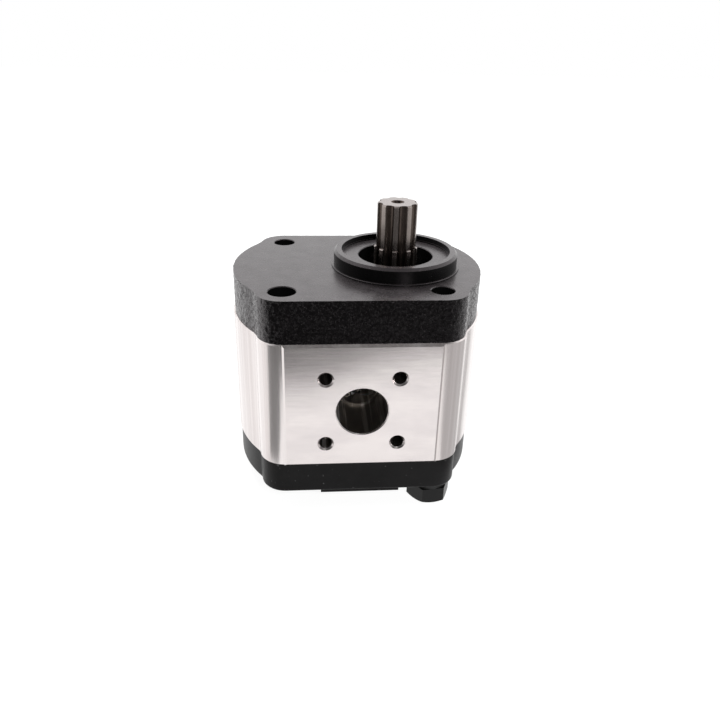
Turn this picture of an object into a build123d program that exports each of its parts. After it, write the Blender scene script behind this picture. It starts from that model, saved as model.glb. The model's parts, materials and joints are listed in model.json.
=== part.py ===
from build123d import *
import os
from math import acos, cos, pi, radians, sin, sqrt, tan

# External gear pump in millimetres.
# Origin: centre of the centring pilot, on the mounting face of the front cover.
# +Z runs out along the drive shaft, the driven gear lies on -X and the suction port opens towards -Y.

# ---- layout ----------------------------------------------------------------------------------------
GEAR_DISTANCE = 31.0                 # between the drive axis (at X = 0) and the driven axis
MID_X = -GEAR_DISTANCE / 2
HOLE_HALF = 30.0                     # half the side of the square of four corner holes
FLANGE_BACK = -17.0                  # the front cover runs from here up to Z = 0
BODY_BACK = -70.0
REAR_BACK = -83.3
GEAR_MID = -45.5                     # both ports and both gears are centred at this height
GEAR_WIDTH = 20.0
FACE_GAP = 0.04                      # running gap on each side of the gears
FIT_GAP = 0.03                       # radial running gap of journals, gear tips and bearing blocks

# ---- outlines --------------------------------------------------------------------------------------
COVER_ROUND_R = 50.0
COVER_LOBE_R = 10.0
BODY_ROUND_R = 50.5
BODY_LOBE_R = 10.3
FRONT_BLEND = 20.0                   # concave blends between the round sides and the corner lobes
BODY_BLEND = 6.0
REAR_BLEND = 3.0
PORT_FACE_Y = 41.1                   # the milled port faces stand a little proud of the extrusion
PORT_FACE_WIDTH = 59.0
PORT_FACE_SLOPE = 1.0                # width of the slanted strip on each side of a port face
PORT_FACE_EDGE = 1.0                 # bevel where a port face ends below and above
BODY_EDGE = 0.5

# ---- pilot and shaft opening -----------------------------------------------------------------------
PILOT_R = 25.0
PILOT_HEIGHT = 6.5
PILOT_CHAMFER = 1.0
LAND_R = 25.9                        # turned land round the foot of the pilot
LAND_HEIGHT = 0.6
LAND_BEVEL = 0.2
RECESS_R = 21.9
RECESS_LEDGE_R = 21.3
RECESS_LEDGE_DEPTH = 1.9
RECESS_DEPTH = 2.3
SEAL_BORE_R = 15.0
SEAL_BACK = -14.0
SEAL_WIDTH = 7.0
RING_THICK = 1.2
RING_GROOVE_R = 15.7
COVER_SHAFT_HOLE_R = 9.8
BORE_EDGE = 0.3

# ---- holes and fasteners ---------------------------------------------------------------------------
MOUNT_HOLE_R = 5.25
BOLT_R = 5.0
BOLT_TIP_Z = -5.0
BOLT_THREAD_MOUTH_R = 4.4
HOLE_EDGE = 0.3
HEAD_ACROSS_FLATS = 16.0
HEAD_HEIGHT = 7.0
HEAD_WASHER_FACE_R = 7.7
HEAD_TURN = 7.0                      # how far the tightened heads stand off square
WASHER_R = 8.0
WASHER_BORE_R = 5.2
WASHER_THICK = 2.2
WASHER_SPLIT = 1.2                   # width of the slanted gap in a spring washer
WASHER_SPLIT_SLANT = 30.0
WASHER_SPLIT_AT = -140.0             # the gap's place round the bolt
DOWEL_R = 3.0
DOWEL_OFFSET = 44.0
DOWEL_LENGTH = 12.0
DOWEL_EDGE = 0.5

# ---- ports -----------------------------------------------------------------------------------------
SUCTION_R = 10.0
SUCTION_SQUARE = 28.28
PRESSURE_R = 7.5
PRESSURE_SQUARE = 24.75
PORT_STEP_DEPTH = 22.0
PORT_STEP = 1.0                      # the passage narrows by this much where it nears the gears
PORT_INNER_Y = 8.0
PORT_EDGE = 0.4
PORT_THREAD_R = 2.5
PORT_THREAD_DEPTH = 13.0
PORT_THREAD_MOUTH = 0.7

# ---- gears -----------------------------------------------------------------------------------------
TEETH = 12
PRESSURE_ANGLE = radians(25)
PITCH_R = GEAR_DISTANCE / 2
TIP_R = 18.1
ROOT_R = 12.4
ROOT_FILLET = 0.7
TOOTH_SINK = 1.0                     # a tooth is drawn this far into the root circle
BACKLASH = 0.12                      # taken off each tooth at the pitch circle
CHAMBER_R = TIP_R + FIT_GAP
FLANK_POINTS = 7

# ---- shafts ----------------------------------------------------------------------------------------
JOURNAL_R = 9.0
JOURNAL_END = -69.4
DRIVEN_TOP = -17.6
SHAFT_EDGE = 1.0
SPLINE_TOP = 25.7
SPLINE_R = 8.0
SPLINE_LOWER_R = 8.75
SPLINE_STEP_Z = 8.0
SPLINE_STEP_EDGE = 0.35
SPLINE_LOWER_END = -2.5
SPLINE_NECK = 0.5                    # plain length between the groove ends and the journal
SPLINE_TOP_EDGE = 0.5
SPLINE_TEETH = 9
SPLINE_ROOT_R = 6.75
SPLINE_GROOVE_R = 2.15
SPLINE_FIRST_ANGLE = -100.0          # one tooth stands ten degrees to the -X side of -Y
CENTRE_MOUTH_R = 2.65
CENTRE_DRILL_R = 1.25
CENTRE_DEPTH = 5.5
CENTRE_ANGLE = 30.0                  # half the angle of the centre hole

# ---- bearing blocks and bushes ---------------------------------------------------------------------
BUSH_R = 10.0
BUSH_EDGE = 0.3
BLOCK_R = CHAMBER_R - FIT_GAP
TRAP_POCKET = (6.0, 4.0, 1.8)        # relief pockets beside the mesh, facing the gears
TRAP_POCKET_Y = 6.6
AXIAL_SEAL_IN = 11.9
AXIAL_SEAL_OUT = 14.1
BACKUP_OUT = 15.3
AXIAL_SEAL_DEPTH = 1.6
AXIAL_SEAL_OPEN_Y = -6.0             # the seals are open below this height, towards suction
BRIDGE_HALF = 1.1
BACKUP_LINK = (2.6, 3.0)             # block that joins the two arcs of a back-up strip
BACKUP_LINK_Y = 2.6

# ---- body seals ------------------------------------------------------------------------------------
BODY_SEAL_IN = 20.2
BODY_SEAL_OUT = 22.6
BODY_SEAL_DEPTH = 1.8
BODY_SEAL_ROUND = 0.6

# ---- shaft seal and its retaining ring -------------------------------------------------------------
CASE_INNER_R = 13.4
CASE_FRONT_R = 11.6
CASE_THICK = 1.2
CASE_EDGE = 0.5
DUST_LIP_R = 10.4
DUST_LIP_BACK = (0.6, 1.0)           # the dust lip touches the shaft between these depths
WAIST_R = 10.2
WAIST_BACK = 2.0
MAIN_LIP_BACK = (4.6, 4.9)           # the main lip touches the shaft between these depths
LIP_TAIL_R = 10.3
LIP_TAIL_BACK = 6.0
SPRING_SEAT_R = 11.2
SPRING_SEAT_BACK = (5.6, 3.4)
BONDED_BACK = 1.9
SPRING_R = 11.5
SPRING_WIRE_R = 0.7
SPRING_BACK = 4.75
RING_INNER_R = 13.4
RING_OFFSET = 0.6                    # the ring is thinner towards its eyes
RING_GAP = (9.0, 10.0)
RING_EYE_AT = (5.6, 12.4)
RING_EYE_R = 2.1
RING_EYE_HOLE_R = 0.9

# ---- rear cover ------------------------------------------------------------------------------------
REAR_EDGE = 1.2                      # rounded outer edge of the rear cover
PAD_WIDTH = 32.0
PAD_HALF_DEPTH = 39.2
PAD_HEIGHT = 1.4
PAD_BEVEL = 0.3
DRAIN_R = 6.0
DRAIN_DEPTH = 4.0

MOUNT_HOLES = [(MID_X - HOLE_HALF, -HOLE_HALF), (MID_X + HOLE_HALF, HOLE_HALF)]
BOLT_HOLES = [(MID_X + HOLE_HALF, -HOLE_HALF), (MID_X - HOLE_HALF, HOLE_HALF)]
DOWELS = [(MID_X - DOWEL_OFFSET, 0.0), (MID_X + DOWEL_OFFSET, 0.0)]
AXES = [0.0, -GEAR_DISTANCE]
GEAR_TOP = GEAR_MID + GEAR_WIDTH / 2
GEAR_BOTTOM = GEAR_MID - GEAR_WIDTH / 2
FAR = 200.0                          # larger than the pump, for cutting
NEAR = 0.05                          # how close a corner must be to where it is looked for


# ---- helpers ---------------------------------------------------------------------------------------
def upright(x, y, low, high, radius):
    """A cylinder along Z from one height to another."""
    return Pos(x, y, (low + high) / 2) * Cylinder(radius, high - low)


def slab(sketch, low, high):
    """A flat sketch on XY extruded from one height to another."""
    return extrude(Pos(0, 0, low) * sketch, high - low)


def turned(points):
    """A solid of revolution about Z through (radius, height) points."""
    return revolve(Plane.XZ * make_face(Polyline(*points, close=True)), Axis.Z)


def mouth_up(x, y, z, radius, size):
    """The cone that bevels an upward-facing hole mouth at height z."""
    return Pos(x, y, z - size / 2) * Cone(radius, radius + size, size)


def mouth_down(x, y, z, radius, size):
    """The cone that bevels a downward-facing hole mouth at height z."""
    return Pos(x, y, z + size / 2) * Cone(radius + size, radius, size)


def cross_bore(x, z, side, outer, inner, radius):
    """A cylinder along Y on one side of the pump, side being -1 or +1."""
    return Pos(x, side * (outer + inner) / 2, z) * Rot(90, 0, 0) * Cylinder(radius, outer - inner)


def cross_mouth(x, z, side, outer, radius, size):
    """The cone that bevels the mouth of a cross bore."""
    cone = Cone(radius, radius + size, size)
    return Pos(x, side * (outer - size / 2), z) * Rot(-90 * side, 0, 0) * cone


def outline(round_r, lobe_r, blend):
    """Flat front and back, round sides, and a lobe round each corner hole, blended into the sides."""
    flat = HOLE_HALF + lobe_r
    total = (round_r**2 - lobe_r**2 + 2 * HOLE_HALF**2) / (2 * HOLE_HALF)
    split = sqrt(round_r**2 / 2 - total**2 / 4)
    near = total / 2 - split         # a lobe meets the round side at (far, near)
    far = total / 2 + split
    lobe_mid = HOLE_HALF + lobe_r * cos(radians(45))
    edges = []
    for side in (-1, 1):
        edges.append(Line((-HOLE_HALF, side * flat), (HOLE_HALF, side * flat)))
        edges.append(ThreePointArc((side * far, -near), (side * round_r, 0), (side * far, near)))
        for end in (-1, 1):
            edges.append(ThreePointArc((side * far, end * near), (side * lobe_mid, end * lobe_mid),
                                       (side * HOLE_HALF, end * flat)))
    face = make_face(edges)
    notches = [v for v in face.vertices() if abs(abs(v.X) - far) < NEAR and abs(abs(v.Y) - near) < NEAR]
    return Pos(MID_X, 0) * fillet(notches, blend)


def figure_eight(radius):
    """Two overlapping circles, one on each gear axis."""
    return Circle(radius) + Pos(-GEAR_DISTANCE, 0) * Circle(radius)


def body_seal_ring(inner, outer):
    """The race-track ring that runs round both gear bores."""
    outside = SlotCenterToCenter(GEAR_DISTANCE, 2 * outer)
    inside = SlotCenterToCenter(GEAR_DISTANCE, 2 * inner)
    return Pos(MID_X, 0) * (outside - inside)


def open_rings(inner, outer):
    """A ring round each journal, open towards the suction side."""
    below = Pos(MID_X, AXIAL_SEAL_OPEN_Y - FAR / 2) * Rectangle(FAR, FAR)
    return figure_eight_rings(inner, outer) - below


def figure_eight_rings(inner, outer):
    """A full ring on each gear axis."""
    ring = Circle(outer) - Circle(inner)
    return ring + Pos(-GEAR_DISTANCE, 0) * ring


def axial_seal_sketch():
    """The 3-shaped seal behind a bearing block."""
    mean = (AXIAL_SEAL_IN + AXIAL_SEAL_OUT) / 2
    bridge = Pos(MID_X, 0) * Rectangle(GEAR_DISTANCE - 2 * mean, 2 * BRIDGE_HALF)
    return open_rings(AXIAL_SEAL_IN, AXIAL_SEAL_OUT) + bridge


def backup_sketch():
    """The back-up strip that follows the outside of the 3-shaped seal."""
    inner_ends = Pos(MID_X, BRIDGE_HALF - FAR / 2) * Rectangle(2 * PITCH_R - 2 * BUSH_R, FAR)
    link = Pos(MID_X, BACKUP_LINK_Y) * Rectangle(*BACKUP_LINK)
    ring = open_rings(AXIAL_SEAL_OUT, BACKUP_OUT) - inner_ends
    return ring + link - axial_seal_sketch()


def involute(radius):
    """Involute of the pressure angle at a radius."""
    angle = acos(min(1.0, PITCH_R * cos(PRESSURE_ANGLE) / radius))
    return tan(angle) - angle


def polar(radius, angle):
    return (radius * cos(angle), radius * sin(angle))


def tooth(centre):
    """One involute tooth about a centre angle, down to inside the root circle."""
    base_r = PITCH_R * cos(PRESSURE_ANGLE)
    half_pitch = pi / (2 * TEETH) - BACKLASH / (2 * PITCH_R) + involute(PITCH_R)
    radii = [base_r + (TIP_R - base_r) * (i / (FLANK_POINTS - 1)) ** 1.5 for i in range(FLANK_POINTS)]
    halves = [half_pitch - involute(r) for r in radii]
    right = [polar(r, centre - a) for r, a in zip(radii, halves)]
    left = [polar(r, centre + a) for r, a in zip(radii, halves)]
    foot_r = ROOT_R - TOOTH_SINK
    feet = [polar(foot_r, centre - halves[0]), polar(foot_r, centre + halves[0])]
    return make_face([
        Line(feet[0], right[0]),
        Spline(*right),
        ThreePointArc(right[-1], polar(TIP_R, centre), left[-1]),
        Spline(*left[::-1]),
        Line(left[0], feet[1]),
        Line(feet[1], feet[0]),
    ])


def gear(first_angle):
    """The toothed part of a gear about its own axis."""
    face = Circle(ROOT_R)
    for i in range(TEETH):
        face += tooth(radians(first_angle) + 2 * pi * i / TEETH)
    corners = [v for v in face.vertices() if abs(sqrt(v.X**2 + v.Y**2) - ROOT_R) < NEAR]
    return slab(fillet(corners, ROOT_FILLET), GEAR_BOTTOM + FACE_GAP, GEAR_TOP - FACE_GAP)


# ---- housing ---------------------------------------------------------------------------------------
def front_cover():
    """Cast flange with the centring pilot, the seal bore and the corner holes."""
    rim = PILOT_HEIGHT
    pilot = turned([
        (0, FLANGE_BACK / 2), (LAND_R, FLANGE_BACK / 2), (LAND_R, LAND_HEIGHT - LAND_BEVEL),
        (LAND_R - LAND_BEVEL, LAND_HEIGHT), (PILOT_R, LAND_HEIGHT), (PILOT_R, rim - PILOT_CHAMFER),
        (PILOT_R - PILOT_CHAMFER, rim), (0, rim),
    ])
    ring_top = SEAL_BACK + SEAL_WIDTH + RING_THICK
    floor = rim - RECESS_DEPTH
    opening = turned([
        (0, FLANGE_BACK - 1), (COVER_SHAFT_HOLE_R, FLANGE_BACK - 1), (COVER_SHAFT_HOLE_R, SEAL_BACK),
        (SEAL_BORE_R, SEAL_BACK), (SEAL_BORE_R, ring_top - RING_THICK),
        (RING_GROOVE_R, ring_top - RING_THICK), (RING_GROOVE_R, ring_top), (SEAL_BORE_R, ring_top),
        (SEAL_BORE_R, floor - BORE_EDGE), (SEAL_BORE_R + BORE_EDGE, floor), (RECESS_LEDGE_R, floor),
        (RECESS_LEDGE_R, rim - RECESS_LEDGE_DEPTH),
        (RECESS_R, rim - RECESS_LEDGE_DEPTH), (RECESS_R, rim + 1), (0, rim + 1),
    ])
    cover = slab(outline(COVER_ROUND_R, COVER_LOBE_R, FRONT_BLEND), FLANGE_BACK, 0) + pilot - opening
    for x, y in MOUNT_HOLES:
        cover -= upright(x, y, FLANGE_BACK, 0, MOUNT_HOLE_R) + mouth_up(x, y, 0, MOUNT_HOLE_R, HOLE_EDGE)
    for x, y in BOLT_HOLES:
        cover -= upright(x, y, FLANGE_BACK, BOLT_TIP_Z, BOLT_R)
        cover -= upright(x, y, BOLT_TIP_Z, 0, BOLT_THREAD_MOUTH_R)
        cover -= mouth_up(x, y, 0, BOLT_THREAD_MOUTH_R, HOLE_EDGE)
    for x, y in DOWELS:
        cover -= upright(x, y, FLANGE_BACK, FLANGE_BACK + DOWEL_LENGTH / 2, DOWEL_R)
    return cover


def port_cuts(side, radius, square):
    """A port passage and the four tapped holes of its flange, on one side of the body."""
    step_y = PORT_FACE_Y - PORT_STEP_DEPTH
    cuts = cross_bore(MID_X, GEAR_MID, side, PORT_FACE_Y, step_y, radius)
    cuts += cross_bore(MID_X, GEAR_MID, side, step_y, PORT_INNER_Y, radius - PORT_STEP)
    cuts += cross_mouth(MID_X, GEAR_MID, side, PORT_FACE_Y, radius, PORT_EDGE)
    for dx in (-square / 2, square / 2):
        for dz in (-square / 2, square / 2):
            x, z = MID_X + dx, GEAR_MID + dz
            cuts += cross_bore(x, z, side, PORT_FACE_Y, PORT_FACE_Y - PORT_THREAD_DEPTH, PORT_THREAD_R)
            cuts += cross_mouth(x, z, side, PORT_FACE_Y, PORT_THREAD_R, PORT_THREAD_MOUTH)
    return cuts


def port_faces():
    """The raised bar across the body whose two ends are the milled port faces."""
    half = PORT_FACE_WIDTH / 2
    side = half + PORT_FACE_SLOPE
    low = PORT_FACE_Y - PORT_FACE_SLOPE
    corners = [(half, PORT_FACE_Y), (side, low), (side, -low), (half, -PORT_FACE_Y)]
    opposite = [(-x, -y) for x, y in corners]
    bar = slab(make_face(Polyline(*corners, *opposite, close=True)), BODY_BACK, FLANGE_BACK)
    across = bar.edges().filter_by(Axis.X)
    return Pos(MID_X, 0) * chamfer(across, PORT_FACE_EDGE)


def pump_body():
    """Extruded body with two gear bores, milled port faces and the two ports."""
    body = slab(outline(BODY_ROUND_R, BODY_LOBE_R, BODY_BLEND), BODY_BACK, FLANGE_BACK)
    ends = body.faces().sort_by(Axis.Z)
    body = chamfer(ends[0].outer_wire().edges() + ends[-1].outer_wire().edges(), BODY_EDGE)
    body += port_faces()
    body -= slab(figure_eight(CHAMBER_R), BODY_BACK, FLANGE_BACK)
    body -= port_cuts(-1, SUCTION_R, SUCTION_SQUARE) + port_cuts(1, PRESSURE_R, PRESSURE_SQUARE)
    for x, y in MOUNT_HOLES + BOLT_HOLES:
        body -= upright(x, y, BODY_BACK, FLANGE_BACK, MOUNT_HOLE_R)
    for x, y in DOWELS:
        body -= upright(x, y, FLANGE_BACK - DOWEL_LENGTH / 2, FLANGE_BACK, DOWEL_R)
        body -= upright(x, y, BODY_BACK, BODY_BACK + DOWEL_LENGTH / 2, DOWEL_R)
    groove = body_seal_ring(BODY_SEAL_IN, BODY_SEAL_OUT)
    body -= slab(groove, FLANGE_BACK - BODY_SEAL_DEPTH, FLANGE_BACK)
    body -= slab(groove, BODY_BACK, BODY_BACK + BODY_SEAL_DEPTH)
    return body


def rear_cover():
    """Closed cover with a shallow pad on its outer face."""
    cover = slab(outline(COVER_ROUND_R, COVER_LOBE_R, REAR_BLEND), REAR_BACK, BODY_BACK)
    cover = fillet(cover.faces().sort_by(Axis.Z)[0].outer_wire().edges(), REAR_EDGE)
    pad = Pos(MID_X, 0, REAR_BACK - PAD_HEIGHT / 2) * Box(PAD_WIDTH, 2 * PAD_HALF_DEPTH, PAD_HEIGHT)
    pad = chamfer(pad.faces().sort_by(Axis.Z)[0].edges(), PAD_BEVEL)
    cover += pad
    for x, y in MOUNT_HOLES + BOLT_HOLES:
        cover -= upright(x, y, REAR_BACK, BODY_BACK, MOUNT_HOLE_R)
    for x, y in MOUNT_HOLES:
        cover -= mouth_down(x, y, REAR_BACK, MOUNT_HOLE_R, HOLE_EDGE)
    for x in AXES:
        cover -= upright(x, 0, BODY_BACK - DRAIN_DEPTH, BODY_BACK, DRAIN_R)
    for x, y in DOWELS:
        cover -= upright(x, y, BODY_BACK - DOWEL_LENGTH / 2, BODY_BACK, DOWEL_R)
    return cover


# ---- rotating parts --------------------------------------------------------------------------------
def spline_grooves():
    """The round-bottomed grooves between the spline teeth, with ball-ended run-outs."""
    axis_r = SPLINE_ROOT_R + SPLINE_GROOVE_R
    grooves = []
    for i in range(SPLINE_TEETH):
        angle = radians(SPLINE_FIRST_ANGLE + (i + 0.5) * 360 / SPLINE_TEETH)
        x, y = polar(axis_r, angle)
        grooves.append(upright(x, y, SPLINE_LOWER_END, SPLINE_TOP + 1, SPLINE_GROOVE_R))
        grooves.append(Pos(x, y, SPLINE_LOWER_END) * Sphere(SPLINE_GROOVE_R))
    return grooves


def drive_gear_shaft():
    """Drive gear in one piece with its journals and the splined shaft end."""
    neck = SPLINE_LOWER_END - SPLINE_GROOVE_R - SPLINE_NECK
    shoulder_r = SPLINE_LOWER_R - SPLINE_STEP_EDGE
    shaft = turned([
        (0, JOURNAL_END), (JOURNAL_R - SHAFT_EDGE, JOURNAL_END), (JOURNAL_R, JOURNAL_END + SHAFT_EDGE),
        (JOURNAL_R, neck), (SPLINE_LOWER_R, neck + JOURNAL_R - SPLINE_LOWER_R),
        (SPLINE_LOWER_R, SPLINE_STEP_Z - SPLINE_STEP_EDGE), (shoulder_r, SPLINE_STEP_Z),
        (SPLINE_R, SPLINE_STEP_Z), (SPLINE_R, SPLINE_TOP - SPLINE_TOP_EDGE),
        (SPLINE_R - SPLINE_TOP_EDGE, SPLINE_TOP), (0, SPLINE_TOP),
    ])
    shaft += gear(180.0)
    for groove in spline_grooves():
        shaft -= groove
    cone_depth = (CENTRE_MOUTH_R - CENTRE_DRILL_R) / tan(radians(CENTRE_ANGLE))
    shaft -= turned([
        (0, SPLINE_TOP - CENTRE_DEPTH), (CENTRE_DRILL_R, SPLINE_TOP - CENTRE_DEPTH + CENTRE_DRILL_R / 2),
        (CENTRE_DRILL_R, SPLINE_TOP - cone_depth), (CENTRE_MOUTH_R, SPLINE_TOP), (0, SPLINE_TOP),
    ])
    return shaft


def driven_gear_shaft():
    """Driven gear in one piece with its two journals."""
    shaft = turned([
        (0, JOURNAL_END), (JOURNAL_R - SHAFT_EDGE, JOURNAL_END), (JOURNAL_R, JOURNAL_END + SHAFT_EDGE),
        (JOURNAL_R, DRIVEN_TOP - SHAFT_EDGE), (JOURNAL_R - SHAFT_EDGE, DRIVEN_TOP), (0, DRIVEN_TOP),
    ])
    return Pos(-GEAR_DISTANCE, 0) * (shaft + gear(180.0 / TEETH))


# ---- bearing blocks, bushes and seals --------------------------------------------------------------
def bearing_block(low, high, gear_side, seal_side):
    """Figure-eight block that carries both journals; seal_side is the face with the seal groove."""
    block = slab(figure_eight(BLOCK_R), low, high)
    for x in AXES:
        block -= upright(x, 0, low, high, BUSH_R)
    width, depth, height = TRAP_POCKET
    for side in (-1, 1):
        block -= Pos(MID_X, side * TRAP_POCKET_Y, gear_side) * Box(width, depth, 2 * height)
    groove = axial_seal_sketch() + backup_sketch()
    return block - slab(groove, *seal_span(seal_side))


def seal_span(seal_side):
    """The heights between which the axial seal of a block lies."""
    inwards = 1 if seal_side == BODY_BACK else -1
    return sorted((seal_side, seal_side + inwards * AXIAL_SEAL_DEPTH))


def bush(x, low, high):
    """Plain sleeve bearing, bevelled at both ends inside."""
    inner = JOURNAL_R + FIT_GAP
    sleeve = upright(x, 0, low, high, BUSH_R) - upright(x, 0, low, high, inner)
    return sleeve - mouth_up(x, 0, high, inner, BUSH_EDGE) - mouth_down(x, 0, low, inner, BUSH_EDGE)


def body_seal(low):
    """O-ring squeezed into its groove between the body and a cover."""
    ring = slab(body_seal_ring(BODY_SEAL_IN, BODY_SEAL_OUT), low, low + BODY_SEAL_DEPTH)
    return fillet(ring.faces().sort_by(Axis.Z)[0].edges() + ring.faces().sort_by(Axis.Z)[-1].edges(),
                  BODY_SEAL_ROUND)


def shaft_seal_case():
    """Angled ring that is pressed into the seal bore."""
    front = SEAL_BACK + SEAL_WIDTH
    edge_r = SEAL_BORE_R - CASE_EDGE
    return turned([
        (CASE_FRONT_R, front - CASE_THICK), (CASE_FRONT_R, front), (edge_r, front),
        (SEAL_BORE_R, front - CASE_EDGE), (SEAL_BORE_R, SEAL_BACK + CASE_EDGE), (edge_r, SEAL_BACK),
        (CASE_INNER_R, SEAL_BACK), (CASE_INNER_R, front - CASE_THICK),
    ])


def shaft_seal_lip():
    """Rubber lip that runs on the shaft, with the seat of its spring and a dust lip."""
    front = SEAL_BACK + SEAL_WIDTH
    run_r = JOURNAL_R + FIT_GAP
    dust = [(DUST_LIP_R, front)] + [(run_r, front - depth) for depth in DUST_LIP_BACK]
    main = [(WAIST_R, front - WAIST_BACK)] + [(run_r, front - depth) for depth in MAIN_LIP_BACK]
    seat = [(SPRING_SEAT_R, front - depth) for depth in SPRING_SEAT_BACK]
    bonded = [(CASE_INNER_R, front - BONDED_BACK), (CASE_INNER_R, front - CASE_THICK)]
    tail = [(LIP_TAIL_R, front - LIP_TAIL_BACK)]
    back = [(CASE_FRONT_R, front - CASE_THICK), (CASE_FRONT_R, front)]
    return turned(dust + main + tail + seat + bonded + back) - spring_ring()


def spring_ring():
    """Garter spring that presses the lip on the shaft, as a plain ring."""
    return Pos(0, 0, SEAL_BACK + SEAL_WIDTH - SPRING_BACK) * Torus(SPRING_R, SPRING_WIRE_R)


def seal_retaining_ring():
    """Internal retaining ring with an eye at each end of its gap."""
    low = SEAL_BACK + SEAL_WIDTH
    across, up = RING_EYE_AT
    sketch = Circle(RING_GROOVE_R) - Pos(0, RING_OFFSET) * Circle(RING_INNER_R)
    sketch -= Pos(0, RING_GROOVE_R) * Rectangle(*RING_GAP)
    for x in (-across, across):
        sketch += Pos(x, up) * Circle(RING_EYE_R)
        sketch -= Pos(x, up) * Circle(RING_EYE_HOLE_R)
    return slab(sketch, low, low + RING_THICK)


# ---- fasteners -------------------------------------------------------------------------------------
def assembly_bolt(x, y):
    """Hexagon-head bolt from under the rear cover up into the front cover."""
    head_top = REAR_BACK - WASHER_THICK
    head_bottom = head_top - HEAD_HEIGHT
    corner_r = HEAD_ACROSS_FLATS / sqrt(3)
    head = slab(RegularPolygon(corner_r, 6), head_bottom, head_top)
    bevel = corner_r - HEAD_WASHER_FACE_R
    rise = bevel * tan(radians(30))
    head &= turned([
        (0, head_bottom), (HEAD_WASHER_FACE_R, head_bottom), (corner_r, head_bottom + rise),
        (corner_r, head_top), (0, head_top),
    ])
    shank = turned([
        (0, head_top), (BOLT_R, head_top), (BOLT_R, BOLT_TIP_Z - SHAFT_EDGE),
        (BOLT_R - SHAFT_EDGE, BOLT_TIP_Z), (0, BOLT_TIP_Z),
    ])
    return Pos(x, y, 0) * (Rot(0, 0, HEAD_TURN) * head + shank)


def assembly_washer(x, y):
    """Spring washer under a bolt head, with its slanted split."""
    low = REAR_BACK - WASHER_THICK
    ring = upright(0, 0, low, REAR_BACK, WASHER_R) - upright(0, 0, low, REAR_BACK, WASHER_BORE_R)
    split = Pos(WASHER_R, 0, low + WASHER_THICK / 2) * Rot(WASHER_SPLIT_SLANT, 0, 0)
    split *= Box(WASHER_R, WASHER_SPLIT, FAR)
    return Pos(x, y, 0) * Rot(0, 0, WASHER_SPLIT_AT) * (ring - split)


def dowel(x, y, middle):
    """Parallel pin half in the body and half in a cover."""
    pin = upright(x, y, middle - DOWEL_LENGTH / 2, middle + DOWEL_LENGTH / 2, DOWEL_R)
    return chamfer(pin.edges().filter_by(GeomType.CIRCLE), DOWEL_EDGE)


# ---- the pump --------------------------------------------------------------------------------------
def build():
    """Every node's name and shape."""
    nodes = {
        "front_cover": front_cover(),
        "pump_body": pump_body(),
        "rear_cover": rear_cover(),
        "drive_gear_shaft": drive_gear_shaft(),
        "driven_gear_shaft": driven_gear_shaft(),
        "front_bearing_block": bearing_block(GEAR_TOP, FLANGE_BACK, GEAR_TOP, FLANGE_BACK),
        "rear_bearing_block": bearing_block(BODY_BACK, GEAR_BOTTOM, GEAR_BOTTOM, BODY_BACK),
        "front_drive_bush": bush(AXES[0], GEAR_TOP, FLANGE_BACK),
        "front_driven_bush": bush(AXES[1], GEAR_TOP, FLANGE_BACK),
        "rear_drive_bush": bush(AXES[0], BODY_BACK, GEAR_BOTTOM),
        "rear_driven_bush": bush(AXES[1], BODY_BACK, GEAR_BOTTOM),
        "front_axial_seal": slab(axial_seal_sketch(), *seal_span(FLANGE_BACK)),
        "rear_axial_seal": slab(axial_seal_sketch(), *seal_span(BODY_BACK)),
        "front_axial_backup": slab(backup_sketch(), *seal_span(FLANGE_BACK)),
        "rear_axial_backup": slab(backup_sketch(), *seal_span(BODY_BACK)),
        "front_body_seal": body_seal(FLANGE_BACK - BODY_SEAL_DEPTH),
        "rear_body_seal": body_seal(BODY_BACK),
        "shaft_seal_case": shaft_seal_case(),
        "shaft_seal_lip": shaft_seal_lip(),
        "shaft_seal_spring": spring_ring(),
        "seal_retaining_ring": seal_retaining_ring(),
        "assembly_bolts": Compound([assembly_bolt(x, y) for x, y in BOLT_HOLES]),
        "assembly_washers": Compound([assembly_washer(x, y) for x, y in BOLT_HOLES]),
        "front_dowel_pins": Compound([dowel(x, y, FLANGE_BACK) for x, y in DOWELS]),
        "rear_dowel_pins": Compound([dowel(x, y, BODY_BACK) for x, y in DOWELS]),
    }
    return nodes


os.makedirs("parts", exist_ok=True)
for name, shape in build().items():
    export_step(shape, f"parts/{name}.step")
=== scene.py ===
"""Hydraulic gear pump: looks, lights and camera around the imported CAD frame."""
import json
import math

import bmesh
import bpy
from mathutils import Matrix, Vector, noise


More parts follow.
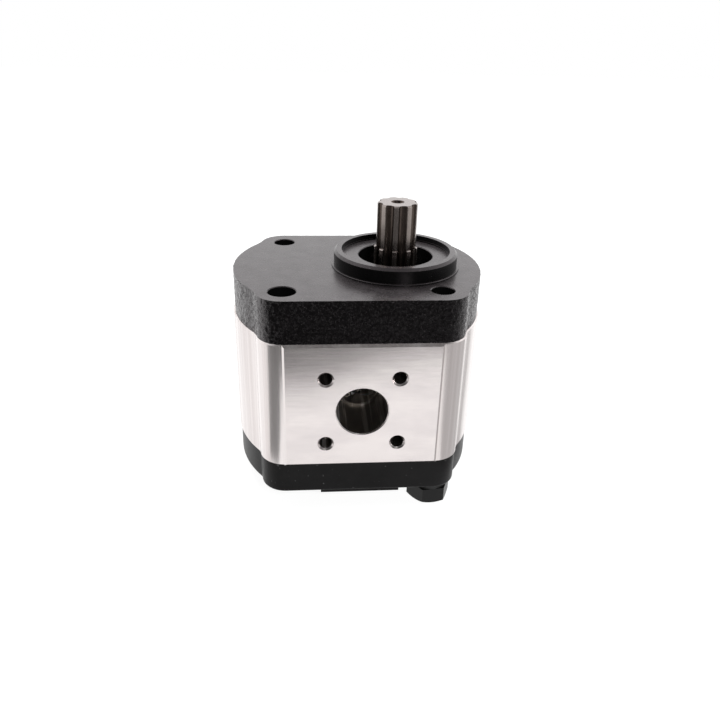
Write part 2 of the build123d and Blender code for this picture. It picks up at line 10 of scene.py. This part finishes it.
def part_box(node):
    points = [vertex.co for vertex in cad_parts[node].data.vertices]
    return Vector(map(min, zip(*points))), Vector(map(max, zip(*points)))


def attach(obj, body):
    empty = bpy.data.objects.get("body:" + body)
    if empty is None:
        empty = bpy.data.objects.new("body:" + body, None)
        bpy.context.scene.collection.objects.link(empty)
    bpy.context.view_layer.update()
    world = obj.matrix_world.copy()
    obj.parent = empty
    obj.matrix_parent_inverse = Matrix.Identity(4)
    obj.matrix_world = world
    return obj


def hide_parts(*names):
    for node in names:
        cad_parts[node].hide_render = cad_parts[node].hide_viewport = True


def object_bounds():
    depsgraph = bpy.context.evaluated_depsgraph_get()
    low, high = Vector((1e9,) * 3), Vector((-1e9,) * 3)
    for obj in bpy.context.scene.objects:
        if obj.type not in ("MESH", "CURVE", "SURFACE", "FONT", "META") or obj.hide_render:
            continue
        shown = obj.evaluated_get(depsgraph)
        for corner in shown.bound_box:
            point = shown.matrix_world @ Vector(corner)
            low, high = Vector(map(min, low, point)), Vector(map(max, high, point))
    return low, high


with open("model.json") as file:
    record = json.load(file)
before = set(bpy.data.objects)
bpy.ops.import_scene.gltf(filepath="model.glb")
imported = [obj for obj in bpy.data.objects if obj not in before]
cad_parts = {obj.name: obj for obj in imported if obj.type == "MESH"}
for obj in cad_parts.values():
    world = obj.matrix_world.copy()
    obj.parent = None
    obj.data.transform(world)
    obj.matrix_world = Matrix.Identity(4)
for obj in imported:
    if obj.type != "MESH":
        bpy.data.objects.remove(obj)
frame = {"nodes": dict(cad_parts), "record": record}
CAD_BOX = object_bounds()
MM = 0.001

# ---- camera ----------------------------------------------------------------------------------------
CAMERA_AT = Vector((-37.95, -275.27, 95.0)) * MM
CAMERA_YAW = math.radians(5.115)
CAMERA_PITCH = math.radians(-26.66)
CAMERA_ROLL = math.radians(1.493)
LENS = 35.48
SENSOR = 36
NEAR_CLIP = 0.01

# ---- places on the pump, from the frame ------------------------------------------------------------
BODY_LOW, BODY_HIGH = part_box("pump_body")
COVER_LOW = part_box("front_cover")[0]
MID_X = (BODY_LOW.x + BODY_HIGH.x) / 2
PORT_FACE = BODY_HIGH.y
MOUNTS = {m["name"]: m for m in frame["record"]["mounts"]}
PORT_Z = MOUNTS["suction_port"]["pos_m"][2]
PORT_R = MOUNTS["suction_port"]["dims"]["r_mm"] * MM
PORT_HOLE_HALF = MOUNTS["suction_flange_holes"]["dims"]["spacing_x_mm"] * MM / 2
CORNER_HALF = abs(MOUNTS["mounting_hole_suction_side"]["pos_m"][1])
CORNER_HOLES = [(MID_X + sx * CORNER_HALF, sy * CORNER_HALF) for sx in (-1, 1) for sy in (-1, 1)]

# ---- the casting -----------------------------------------------------------------------------------
WELD = 0.002 * MM
GRAIN_SPAN = 0.45 * MM               # spacing of the roughened grid on the cast wall
GRAIN_DEPTH = 0.24 * MM              # the deepest that the cast skin lies below the pattern's surface
CORNER_ANGLE = math.radians(40)      # edges sharper than this stay sharp
WALL_HEIGHT = 10.5 * MM              # a face of the cover's outline is taller than this
WALL_UPRIGHT = 0.1
HOLE_CLEARANCE = 7.5 * MM            # faces nearer than this to a corner hole's axis belong to the hole
GRAIN_SIZES = ((3.2 * MM, 0.30), (1.7 * MM, 0.45), (1.0 * MM, 0.45))

# ---- edges of the areas that the materials tell apart ----------------------------------------------
# HOLE_MOUTH, PORT_RIM and BORE_START bound the bores, which get painted shade
HOLE_MOUTH = (3.7 * MM, 3.9 * MM)    # round a tapped port hole's axis
PORT_RIM = (0.6 * MM, 0.8 * MM)      # outside the port's own radius
BORE_START = (1.0 * MM, 0.8 * MM)    # below the port face
MILLED_START = (0.6 * MM, 0.3 * MM)  # below the port face
# where the painted reflection streaks in the port bore are strongest
REFLECTION_STREAKS_X = (-3 * MM, 1 * MM)        # from the port's axis
REFLECTION_STREAKS_Z = (-6 * MM, -2 * MM)
SPLINE_LAND = (7.55 * MM, 7.85 * MM)
# below this height the shaft steel gets painted light, a much brighter colour
SHAFT_OUTSIDE = (-20 * MM, -15 * MM)

# ---- stage -----------------------------------------------------------------------------------------
FLOOR_HALF = 2
CARD_LIFT = 2 * MM                   # the reflected cards lie this far above the floor
FRONT_CARD = ((-0.5, -0.110), (-0.6, -0.95), (0.6, -0.95), (0.5, -0.290), (0.03, -0.185), (-0.03, -0.150))
LEFT_CARD_INSET = 0.006
LEFT_CARD = (-127, 28, 0.03, 0.5)    # heading and half width in degrees, near and far edge in metres
RIGHT_CARD_INSET = 0.012
RIGHT_CARD = (-14, 55, 0.03, 0.6)
SOFTBOX = ((0.0, 0.25, 0.50), (0, 0, -0.05), 0.6, 0.3, 4)
PORT_LAMP_AT = (0.10, -0.45, 0.22)
PORT_LAMP_SIZE = 0.14
PORT_LAMP_POWER = 1.5
WORLD_EDGE = (-0.55, 0.15)           # the part of the direction along Y where the surround brightens
WORLD_LIGHT = (0.03, 1.25)


def add_camera():
    """A camera by position, heading, tilt and roll."""
    ahead = Vector((math.sin(CAMERA_YAW) * math.cos(CAMERA_PITCH),
                    math.cos(CAMERA_YAW) * math.cos(CAMERA_PITCH), math.sin(CAMERA_PITCH)))
    level = Vector((math.cos(CAMERA_YAW), -math.sin(CAMERA_YAW), 0))
    above = level.cross(ahead)
    right = math.cos(CAMERA_ROLL) * level + math.sin(CAMERA_ROLL) * above
    up = math.cos(CAMERA_ROLL) * above - math.sin(CAMERA_ROLL) * level
    data = bpy.data.cameras.new("camera")
    data.lens = LENS
    data.sensor_width = SENSOR
    data.clip_start = NEAR_CLIP
    camera = bpy.data.objects.new("camera", data)
    turn = Matrix((right, up, -ahead)).transposed().to_4x4()
    camera.matrix_world = Matrix.Translation(CAMERA_AT) @ turn
    bpy.context.scene.collection.objects.link(camera)
    bpy.context.scene.camera = camera


# ---- node graphs -----------------------------------------------------------------------------------
class Graph:
    """A node tree with short calls for adding and linking nodes."""

    def __init__(self, tree):
        self.tree = tree

    def node(self, kind, inputs=None, **settings):
        node = self.tree.nodes.new(kind)
        for name, value in settings.items():
            setattr(node, name, value)
        for key, value in (inputs or {}).items():
            self.feed(node.inputs[key], value)
        return node

    def feed(self, socket, value):
        if isinstance(value, bpy.types.NodeSocket):
            self.tree.links.new(value, socket)
        else:
            socket.default_value = value

    def math(self, operation, first, second=0.0, clamp=False):
        node = self.node("ShaderNodeMath", {0: first, 1: second}, operation=operation, use_clamp=clamp)
        return node.outputs[0]

    def both(self, first, second):
        return self.math("MULTIPLY", first, second)

    def against(self, value):
        return self.math("SUBTRACT", 1.0, value)

    def apart(self, first, second):
        """The distance between two numbers."""
        return self.math("ABSOLUTE", self.math("SUBTRACT", first, second))

    def reach(self, first, second):
        """The length of a two-part vector."""
        squares = self.math("ADD", self.both(first, first), self.both(second, second))
        return self.math("SQRT", squares)

    def mix_colour(self, amount, first, second):
        node = self.node("ShaderNodeMix", data_type="RGBA")
        self.feed(node.inputs[0], amount)
        self.feed(node.inputs[6], first)
        self.feed(node.inputs[7], second)
        return node.outputs[2]

    def mix_value(self, amount, first, second):
        node = self.node("ShaderNodeMix", {0: amount, 2: first, 3: second}, data_type="FLOAT")
        return node.outputs[0]

    def ramp(self, value, low, high):
        """0 below low, 1 above high, smooth between."""
        node = self.node("ShaderNodeMapRange", {0: value, 1: low, 2: high, 3: 0.0, 4: 1.0},
                         interpolation_type="SMOOTHSTEP")
        return node.outputs[0]

    def noise(self, vector, scale, detail=2.0, roughness=0.5):
        node = self.node("ShaderNodeTexNoise", {"Vector": vector, "Scale": scale, "Detail": detail,
                                                "Roughness": roughness})
        return node.outputs[0]

    def stretched(self, vector, x, y, z):
        """The vector scaled by a factor for each axis, for grain and lines."""
        return self.node("ShaderNodeVectorMath", {0: vector, 1: (x, y, z)}, operation="MULTIPLY").outputs[0]

    def bump(self, height, strength, distance, normal=None):
        inputs = {"Height": height, "Strength": strength, "Distance": distance}
        if normal is not None:
            inputs["Normal"] = normal
        return self.node("ShaderNodeBump", inputs).outputs[0]

    def position(self):
        """The point in the pump's own frame, in metres, and its three parts."""
        place = self.node("ShaderNodeTexCoord").outputs["Object"]
        parts = self.node("ShaderNodeSeparateXYZ", {0: place}).outputs
        return place, parts

    def facing(self):
        """The three parts of the surface's direction."""
        normal = self.node("ShaderNodeNewGeometry").outputs["Normal"]
        return self.node("ShaderNodeSeparateXYZ", {0: normal}).outputs


def grey(level):
    return (level, level, level, 1.0)


def material(name, **constants):
    """A new material and its graph and shader, with constant inputs set on the shader itself."""
    made = bpy.data.materials.new(name)
    made.use_nodes = True
    shader = made.node_tree.nodes["Principled BSDF"]
    for key, value in constants.items():
        shader.inputs[key.replace("_", " ")].default_value = value
    return made, Graph(made.node_tree), shader


# ---- materials -------------------------------------------------------------------------------------
def machined_black():
    """Satin black on the machined faces of the front cover, with handling marks, and painted shade: faces
    that don't face up are near black with little gloss.
    """
    made, g, shader = material("machined_black", Metallic=0.0, IOR=1.5, Specular_Tint=(1, 0.90, 0.94, 1))
    place, _ = g.position()
    # level: faces that face up; every other face gets painted shade below
    level = g.ramp(g.facing()[2], 0.5, 0.8)
    clouds = g.noise(place, 55.0, 4.0, 0.6)
    patches = g.noise(place, 220.0, 4.0, 0.6)
    fine = g.noise(place, 2500.0, 2.0, 0.5)
    scuffs = g.ramp(g.noise(g.stretched(place, 0.35, 1.0, 1.0), 420.0, 5.0, 0.7), 0.60, 0.74)
    specks = g.ramp(g.noise(place, 1100.0, 1.0, 0.4), 0.70, 0.76)
    worn = g.math("ADD", g.both(scuffs, 0.5), g.both(specks, 0.8), clamp=True)
    satin = g.mix_colour(clouds, (0.010, 0.0085, 0.009, 1), (0.019, 0.016, 0.017, 1))
    # painted shade: faces that don't face up get near-black grey(0.003) instead of the satin colour
    shown = g.mix_colour(level, grey(0.003), g.mix_colour(worn, satin, (0.07, 0.062, 0.065, 1)))
    g.feed(shader.inputs["Base Color"], shown)
    rough = g.mix_value(clouds, 0.22, 0.30)
    g.feed(shader.inputs["Roughness"], g.mix_value(g.ramp(patches, 0.35, 0.65), rough, 0.29))
    lines = g.noise(g.stretched(place, 0.05, 1.0, 1.0), 1800.0, 2.0, 0.5)
    grain = g.math("ADD", fine, g.both(lines, 0.5))
    smooth = g.bump(g.math("ADD", patches, clouds), 0.08, 0.0004)
    g.feed(shader.inputs["Normal"], g.bump(grain, 0.07, 0.0001, smooth))
    mottle = g.mix_value(g.ramp(g.noise(place, 130.0, 5.0, 0.65), 0.3, 0.7), 0.58, 0.80)
    # painted shade: faces that don't face up get a low reflection level
    g.feed(shader.inputs["Specular IOR Level"], g.mix_value(level, 0.10, mottle))
    return made


def cast_black():
    """Black skin of the as-cast wall, with raised grains, and painted shade: much less gloss where it faces
    front or back.
    """
    made, g, shader = material("cast_black", Metallic=0.0, IOR=1.6, Specular_Tint=(1, 0.92, 0.95, 1))
    place, _ = g.position()
    coarse = g.noise(place, 800.0, 4.0, 0.7)
    grains = g.ramp(coarse, 0.50, 0.72)
    patches = g.noise(place, 150.0, 3.0, 0.6)
    worn = g.ramp(g.noise(place, 1000.0, 3.0, 0.7), 0.60, 0.70)
    matt = g.mix_colour(patches, (0.0010, 0.0008, 0.0009, 1), (0.003, 0.0026, 0.0028, 1))
    g.feed(shader.inputs["Base Color"], g.mix_colour(worn, matt, (0.028, 0.025, 0.026, 1)))
    g.feed(shader.inputs["Roughness"], g.mix_value(coarse, 0.16, 0.36))
    # painted shade: the wall facing front or back gets a far lower reflection level than the wall facing
    # sideways
    ahead = g.math("ABSOLUTE", g.facing()[1])
    unshaded_sideways = g.against(g.ramp(ahead, 0.62, 0.97))
    # skin is the low reflection level of the front and back wall, part of that painted shade
    skin = g.mix_value(grains, 0.10, 0.21)
    g.feed(shader.inputs["Specular IOR Level"], g.mix_value(unshaded_sideways, skin, g.mix_value(grains, 0.6, 1.0)))
    g.feed(shader.inputs["Normal"], g.bump(grains, 0.8, 0.0005))
    return made


def cover_black():
    """Finer black coated casting of the rear cover."""
    made, g, shader = material("cover_black", Metallic=0.0, IOR=1.5)
    place, _ = g.position()
    grain = g.noise(place, 1400.0, 5.0, 0.6)
    clouds = g.noise(place, 90.0, 4.0, 0.6)
    specks = g.ramp(g.noise(place, 800.0, 1.0, 0.4), 0.72, 0.78)
    coat = g.mix_colour(clouds, (0.0018, 0.0016, 0.0017, 1), (0.005, 0.0045, 0.0047, 1))
    g.feed(shader.inputs["Base Color"], g.mix_colour(specks, coat, grey(0.06)))
    g.feed(shader.inputs["Roughness"], g.mix_value(clouds, 0.30, 0.42))
    g.feed(shader.inputs["Specular IOR Level"], g.mix_value(clouds, 0.09, 0.16))
    g.feed(shader.inputs["Normal"], g.bump(grain, 0.22, 0.0002))
    return made


def extruded_aluminium():
    """Extruded body with drawing lines along Z, milled port faces, painted shade in the bores and painted
    reflection streaks in them, strongest at the lower left of the port bore.
    """
    made, g, shader = material("extruded_aluminium", Metallic=1.0)
    place, (x, y, z) = g.position()
    side = g.facing()[1]
    beyond = g.ramp(g.math("ABSOLUTE", y), PORT_FACE - MILLED_START[0], PORT_FACE - MILLED_START[1])
    milled = g.both(g.ramp(g.math("ABSOLUTE", side), 0.985, 0.995), beyond)
    lines = g.noise(g.stretched(place, 1.0, 1.0, 0.012), 1500.0, 4.0, 0.6)
    bands = g.noise(g.stretched(place, 1.0, 1.0, 0.008), 190.0, 3.0, 0.6)
    swirl = g.noise(g.stretched(place, 0.08, 1.0, 1.0), 900.0, 4.0, 0.6)
    patches = g.noise(g.stretched(place, 0.4, 1.0, 1.0), 80.0, 4.0, 0.6)
    scuffs = g.ramp(g.noise(place, 500.0, 5.0, 0.7), 0.66, 0.76)
    drawn_colour = g.mix_colour(g.ramp(bands, 0.3, 0.7), (0.60, 0.545, 0.535, 1), (0.79, 0.745, 0.735, 1))
    milled_colour = g.mix_colour(g.ramp(patches, 0.3, 0.7), (0.66, 0.612, 0.608, 1), (0.745, 0.695, 0.683, 1))
    outer_colour = g.mix_colour(milled, drawn_colour, milled_colour)
    outer_colour = g.mix_colour(g.both(scuffs, 0.35), outer_colour, (0.45, 0.41, 0.40, 1))
    across = g.math("SUBTRACT", x, MID_X)
    along = g.math("SUBTRACT", z, PORT_Z)
    hole_x = g.apart(g.math("ABSOLUTE", across), PORT_HOLE_HALF)
    hole_z = g.apart(g.math("ABSOLUTE", along), PORT_HOLE_HALF)
    in_port = g.against(g.ramp(g.reach(across, along), PORT_R + PORT_RIM[0], PORT_R + PORT_RIM[1]))
    in_hole = g.against(g.ramp(g.reach(hole_x, hole_z), *HOLE_MOUTH))
    deep = g.against(g.ramp(g.math("ABSOLUTE", y), PORT_FACE - BORE_START[0], PORT_FACE - BORE_START[1]))
    # painted shade: the port bore and the tapped holes below the port face get a dark colour
    shaded_bore = g.both(deep, g.math("MAXIMUM", in_port, in_hole))
    # painted reflection: bright streaks in the bores, strongest at the lower left of the port bore
    reflection_streaks = g.ramp(g.noise(g.stretched(place, 1.0, 0.02, 0.02), 700.0, 3.0, 0.6), 0.48, 0.62)
    streak_reflection_low_left = g.both(g.against(g.ramp(across, *REFLECTION_STREAKS_X)), g.against(g.ramp(along, *REFLECTION_STREAKS_Z)))
    painted_streak_reflection = g.both(reflection_streaks, g.mix_value(streak_reflection_low_left, 0.25, 1.0))
    bore_shade_and_streak_colour = g.mix_colour(painted_streak_reflection, (0.16, 0.145, 0.13, 1), (0.95, 0.92, 0.90, 1))
    g.feed(shader.inputs["Base Color"], g.mix_colour(shaded_bore, outer_colour, bore_shade_and_streak_colour))
    drawn_rough = g.mix_value(lines, 0.16, 0.30)
    milled_rough = g.mix_value(swirl, 0.17, 0.30)
    outer_rough = g.mix_value(milled, drawn_rough, milled_rough)
    g.feed(shader.inputs["Roughness"], g.mix_value(shaded_bore, outer_rough, 0.42))
    drawn_bump = g.bump(lines, g.mix_value(milled, 0.16, 0.0), 0.0001)
    relief = g.math("ADD", swirl, g.both(patches, 1.5))
    g.feed(shader.inputs["Normal"], g.bump(relief, g.mix_value(milled, 0.0, 0.10), 0.0001, drawn_bump))
    return made


def turned_steel():
    """Ground and hobbed steel of the shafts, darker in the grooves, with painted light: much brighter inside
    the pump.
    """
    made, g, shader = material("turned_steel", Metallic=1.0)
    place, (x, y, z) = g.position()
    land = g.ramp(g.reach(x, y), *SPLINE_LAND)
    end = g.ramp(g.facing()[2], 0.6, 0.8)
    lines = g.noise(g.stretched(place, 1.0, 1.0, 0.02), 2200.0, 4.0, 0.6)
    stains = g.noise(place, 300.0, 4.0, 0.6)
    ground = g.mix_colour(stains, (0.23, 0.197, 0.182, 1), (0.34, 0.30, 0.277, 1))
    # the spline grooves get a darker colour than the lands
    darker_grooves = g.mix_colour(stains, (0.055, 0.041, 0.035, 1), (0.12, 0.096, 0.082, 1))
    faced = g.mix_colour(stains, (0.24, 0.21, 0.20, 1), (0.34, 0.30, 0.29, 1))
    sides = g.mix_colour(land, darker_grooves, ground)
    # painted light: the steel inside the pump gets a much brighter colour than the outer shaft
    outside = g.ramp(z, *SHAFT_OUTSIDE)
    outer = g.mix_colour(end, sides, faced)
    g.feed(shader.inputs["Base Color"], g.mix_colour(outside, (0.75, 0.71, 0.67, 1), outer))
    g.feed(shader.inputs["Roughness"], g.mix_value(lines, 0.18, 0.34))
    g.feed(shader.inputs["Normal"], g.bump(lines, 0.12, 0.0001))
    return made


def bolt_black():
    """Black oxide on the bolts and washers."""
    made, g, shader = material("bolt_black", Metallic=0.0, Specular_IOR_Level=0.20)
    place, _ = g.position()
    grain = g.noise(place, 1200.0, 4.0, 0.6)
    patches = g.noise(place, 300.0, 4.0, 0.6)
    g.feed(shader.inputs["Base Color"], g.mix_colour(patches, grey(0.0015), grey(0.006)))
    g.feed(shader.inputs["Roughness"], g.mix_value(grain, 0.26, 0.40))
    g.feed(shader.inputs["Normal"], g.bump(grain, 0.12, 0.0001))
    return made


def inner_finish(name, dark, light, metallic, rough):
    """A plain mottled finish for the pieces that are sealed inside."""
    made, g, shader = material(name, Metallic=metallic)
    place, _ = g.position()
    mottle = g.noise(place, 500.0, 4.0, 0.6)
    g.feed(shader.inputs["Base Color"], g.mix_colour(mottle, (*dark, 1), (*light, 1)))
    g.feed(shader.inputs["Roughness"], g.mix_value(mottle, rough, rough + 0.12))
    g.feed(shader.inputs["Normal"], g.bump(mottle, 0.05, 0.0001))
    return made


OWN_FINISHES = {
    # painted shade: the washers get a darker, matt finish of their own, black like the shade under the bolt
    # heads
    "assembly_washers": inner_finish("washer_shade_black", (0.001, 0.001, 0.001), (0.004, 0.004, 0.004), 0.0, 0.6),
}
FINISHES = {
    "cast_black": machined_black(),
    "cover_black": cover_black(),
    "extruded_aluminium": extruded_aluminium(),
    "ground_steel": turned_steel(),
    "bolt_black": bolt_black(),
    "block_aluminium": inner_finish("block_aluminium", (0.55, 0.55, 0.56), (0.68, 0.68, 0.69), 1.0, 0.3),
    "bush_bronze": inner_finish("bush_bronze", (0.45, 0.33, 0.18), (0.58, 0.44, 0.26), 1.0, 0.3),
    "seal_rubber": inner_finish("seal_rubber", (0.004, 0.004, 0.004), (0.010, 0.010, 0.010), 0.0, 0.5),
    "backup_plastic": inner_finish("backup_plastic", (0.62, 0.58, 0.48), (0.72, 0.68, 0.58), 0.0, 0.45),
    "spring_steel": inner_finish("spring_steel", (0.02, 0.02, 0.02), (0.04, 0.04, 0.04), 0.8, 0.35),
}


def dress_nodes():
    """Every CAD node gets its own finish or the finish of its slot."""
    for entry in frame["record"]["subparts"]:
        mesh = frame["nodes"][entry["node"]].data
        mesh.materials.clear()
        mesh.materials.append(OWN_FINISHES.get(entry["node"]) or FINISHES[entry["material_slot"]])


# ---- the casting with real roughness ---------------------------------------------------------------
def is_cast_wall(face):
    """Whether a face of the front cover stands on its outline."""
    heights = [v.co.z for v in face.verts]
    centre = face.calc_center_median()
    near_hole = min(math.hypot(centre.x - x, centre.y - y) for x, y in CORNER_HOLES) < HOLE_CLEARANCE
    tall = max(heights) - min(heights) > WALL_HEIGHT
    return abs(face.normal.z) < WALL_UPRIGHT and tall and not near_hole


def pitting(place):
    """How deep the cast skin lies at a point, from 0 at the pattern's surface to 1."""
    depth = 0.5 + sum(share * noise.noise(place / size) for size, share in GRAIN_SIZES)
    return min(1.0, max(0.0, depth))


def in_order(edges):
    """The vertices of a closed run of edges, one way round, from the one furthest along +X."""
    beside = {}
    for edge in edges:
        first, second = edge.verts
        beside.setdefault(first, []).append(second)
        beside.setdefault(second, []).append(first)
    start = max(beside, key=lambda v: (round(v.co.x / WELD), v.co.y))
    loop = [start, max(beside[start], key=lambda v: v.co.y)]
    while True:
        onward = next(v for v in beside[loop[-1]] if v is not loop[-2])
        if onward is start:
            return loop
        loop.append(onward)


def open_rim(work, height=None):
    """The edges with a face on one side only, all of them or those at one height."""
    rim = [e for e in work.edges if len(e.link_faces) == 1]
    return [e for e in rim if height is None or abs(e.verts[0].co.z - height) < WELD]


def shorten_rims(work):
    """Halves the open edges until none is longer than the grid's span."""
    long = [e for e in open_rim(work) if e.calc_length() > GRAIN_SPAN]
    while long:
        bmesh.ops.subdivide_edges(work, edges=long, cuts=1)
        long = [e for e in open_rim(work) if e.calc_length() > GRAIN_SPAN]


def bare_mesh(name, work, marked):
    """A new smooth mesh of the bmesh's faces alone, sharp at its corners; marked faces get material 1."""
    work.verts.index_update()
    faces = [[v.index for v in f.verts] for f in work.faces]
    marked = set(marked)
    kinds = [int(f in marked) for f in work.faces]
    mesh = bpy.data.meshes.new(name)
    mesh.from_pydata([v.co.copy() for v in work.verts], [], faces)
    work.free()
    mesh.polygons.foreach_set("material_index", kinds)
    mesh.polygons.foreach_set("use_smooth", [True] * len(faces))
    mesh.set_sharp_from_angle(angle=CORNER_ANGLE)
    return mesh


def front_casting():
    """The front cover with its wall cut into a fine grid and roughened inwards."""
    work = bmesh.new()
    work.from_mesh(frame["nodes"]["front_cover"].data)
    bmesh.ops.remove_doubles(work, verts=work.verts, dist=WELD)
    bmesh.ops.delete(work, geom=[f for f in work.faces if is_cast_wall(f)], context="FACES_ONLY")
    shorten_rims(work)
    bottom = in_order(open_rim(work, COVER_LOW.z))
    top = in_order(open_rim(work, 0.0))
    rows = round(-COVER_LOW.z / GRAIN_SPAN)
    grid = [bottom]
    for k in range(1, rows):
        grid.append([work.verts.new(a.co.lerp(b.co, k / rows)) for a, b in zip(bottom, top)])
    grid.append(top)
    count = len(bottom)
    inward = []
    for i in range(count):
        along = bottom[(i + 1) % count].co - bottom[i - 1].co
        inward.append(Vector((-along.y, along.x, 0)).normalized())
    wall = []
    for low, high in zip(grid, grid[1:]):
        for i in range(count):
            j = (i + 1) % count
            wall.append(work.faces.new((low[i], low[j], high[j], high[i])))
    for row in grid:
        for i, vert in enumerate(row):
            vert.co += inward[i] * GRAIN_DEPTH * pitting(vert.co)
    bmesh.ops.recalc_face_normals(work, faces=work.faces)
    mesh = bare_mesh("front_cover_casting", work, wall)
    mesh.materials.append(FINISHES["cast_black"])
    mesh.materials.append(cast_black())
    piece = bpy.data.objects.new("front_cover_casting", mesh)
    bpy.context.scene.collection.objects.link(piece)
    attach(piece, "housing")
    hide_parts("front_cover")


# ---- stage -----------------------------------------------------------------------------------------
def card(name, corners, finish):
    """A flat piece of the stage through corners that are given in order."""
    mesh = bpy.data.meshes.new(name)
    mesh.from_pydata(corners, [], [tuple(range(len(corners)))])
    mesh.materials.append(finish)
    thing = bpy.data.objects.new(name, mesh)
    bpy.context.scene.collection.objects.link(thing)
    return thing


def stage_finish(name, reflectance, glow):
    """A matt finish that also gives off light of its own."""
    made, _, shader = material(name, Roughness=0.7, Specular_IOR_Level=0.0, Emission_Strength=glow)
    shader.inputs["Base Color"].default_value = grey(reflectance)
    shader.inputs["Emission Color"].default_value = grey(1.0)
    return made


def reflection_only(thing):
    """A card that shows only in reflections."""
    thing.visible_camera = False
    thing.visible_diffuse = False
    thing.visible_shadow = False
    thing.visible_transmission = False
    thing.visible_volume_scatter = False


def floor_wedge(name, apex, heading, spread, near, far, finish):
    """A card on the floor that widens away from a corner of the pump, seen only in reflections."""
    height = CAD_BOX[0][2] + CARD_LIFT
    corners = []
    for side, reach in ((-1, near), (-1, far), (1, far), (1, near)):
        angle = math.radians(heading + side * spread)
        corners.append((apex[0] + reach * math.cos(angle), apex[1] + reach * math.sin(angle), height))
    reflection_only(card(name, corners, finish))


def add_stage():
    """The floor, and the cards that make the dark and grey bands on the aluminium."""
    low = CAD_BOX[0][2]
    floor = [(x * FLOOR_HALF, y * FLOOR_HALF, low) for x, y in ((-1, -1), (1, -1), (1, 1), (-1, 1))]
    card("floor", floor, stage_finish("floor_white", 0.18, 0.92))
    front = [(x, y, low + CARD_LIFT) for x, y in FRONT_CARD]
    reflection_only(card("dark_card_front", front, stage_finish("card_dark", 0.03, 0.10)))
    left = (BODY_LOW.x + LEFT_CARD_INSET, BODY_LOW.y + LEFT_CARD_INSET)
    floor_wedge("dark_card_left", left, *LEFT_CARD, stage_finish("card_left", 0.03, 0.22))
    right = (BODY_HIGH.x - RIGHT_CARD_INSET, BODY_LOW.y + RIGHT_CARD_INSET)
    floor_wedge("grey_card_right", right, *RIGHT_CARD, stage_finish("card_right", 0.05, 0.55))


def add_light(name, at, towards, width, height, power):
    """A soft rectangular lamp that the camera doesn't see."""
    data = bpy.data.lights.new(name, "AREA")
    data.shape = "RECTANGLE"
    data.size = width
    data.size_y = height
    data.energy = power
    light = bpy.data.objects.new(name, data)
    light.location = at
    light.rotation_euler = (Vector(towards) - Vector(at)).to_track_quat("-Z", "Y").to_euler()
    light.visible_camera = False
    bpy.context.scene.collection.objects.link(light)


def add_world():
    """A bright surround behind and beside the pump, darker towards the camera's side."""
    world = bpy.data.worlds.new("studio")
    world.use_nodes = True
    g = Graph(world.node_tree)
    direction = g.node("ShaderNodeTexCoord").outputs["Generated"]
    ahead = g.node("ShaderNodeSeparateXYZ", {0: direction}).outputs[1]
    light = g.mix_value(g.ramp(ahead, *WORLD_EDGE), *WORLD_LIGHT)
    seen = g.node("ShaderNodeLightPath").outputs["Is Camera Ray"]
    background = world.node_tree.nodes["Background"]
    background.inputs[0].default_value = (1, 1, 1, 1)
    g.feed(background.inputs[1], g.mix_value(seen, light, 1.0))
    bpy.context.scene.world = world


add_camera()
dress_nodes()
front_casting()
add_stage()
add_light("softbox", *SOFTBOX)
port_mouth = (MID_X, BODY_LOW.y, PORT_Z)
add_light("port_light", PORT_LAMP_AT, port_mouth, PORT_LAMP_SIZE, PORT_LAMP_SIZE, PORT_LAMP_POWER)
add_world()
bpy.context.scene.view_settings.view_transform = "Standard"
